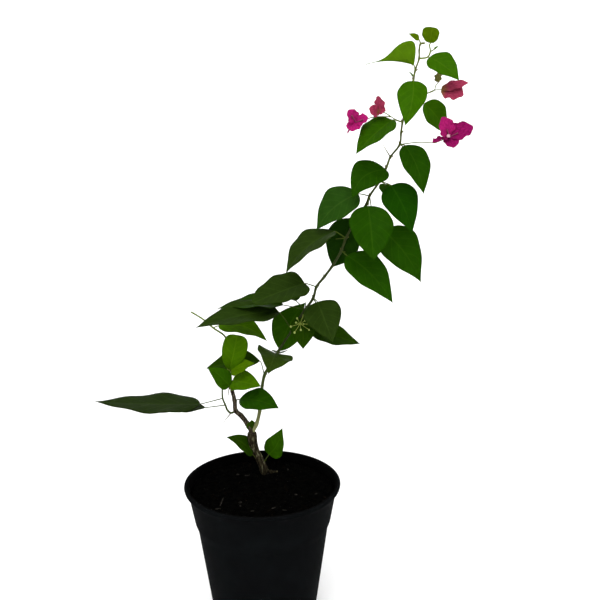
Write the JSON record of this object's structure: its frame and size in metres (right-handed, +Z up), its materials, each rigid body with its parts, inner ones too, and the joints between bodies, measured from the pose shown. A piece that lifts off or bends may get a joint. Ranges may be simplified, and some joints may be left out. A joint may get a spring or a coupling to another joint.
{
  "type": "potted bougainvillea plant",
  "caption": "Young bougainvillea in a round black nursery pot: a short trunk forks into a cut-off stub and one long leaning cane with broad leaves and magenta papery blossom.",
  "frame": {"origin": "centre of the pot's flat underside", "axes": "+Z up, +X towards the side that the cane leans to, -Y towards the viewer"},
  "size_m": [0.3723, 0.159, 0.5925],
  "materials": {
    "pot_plastic": "smooth black nursery plastic, low sheen",
    "potting_mix": "moist dark potting mix with pale chips",
    "trunk_bark": "grey-green woody bark with pale patches",
    "cane_bark": "pale green young bark",
    "stub_bark": "dark brown dry bark",
    "foliage": "smooth leaf, soft sheen",
    "young_foliage": "bright young leaf, soft sheen",
    "flowering_foliage": "smooth leaf with papery bracts"
  },
  "bodies": {
    "root": {"pot": "pot_plastic", "potting_soil": "potting_mix", "trunk": "trunk_bark", "main_cane": "cane_bark", "cut_stub": "stub_bark", "base_leaf_left": "foliage", "base_leaf_right": "foliage", "fork_leaf": "foliage", "stub_leaf": "foliage", "lower_left_spray": "foliage", "young_shoot": "young_foliage", "cane_spray_1": "foliage", "cane_spray_2": "foliage", "cane_spray_3": "foliage", "cane_spray_4": "foliage", "cane_spray_5": "foliage", "flowering_spray": "flowering_foliage", "tip_spray": "young_foliage"}
  },
  "joints": []
}
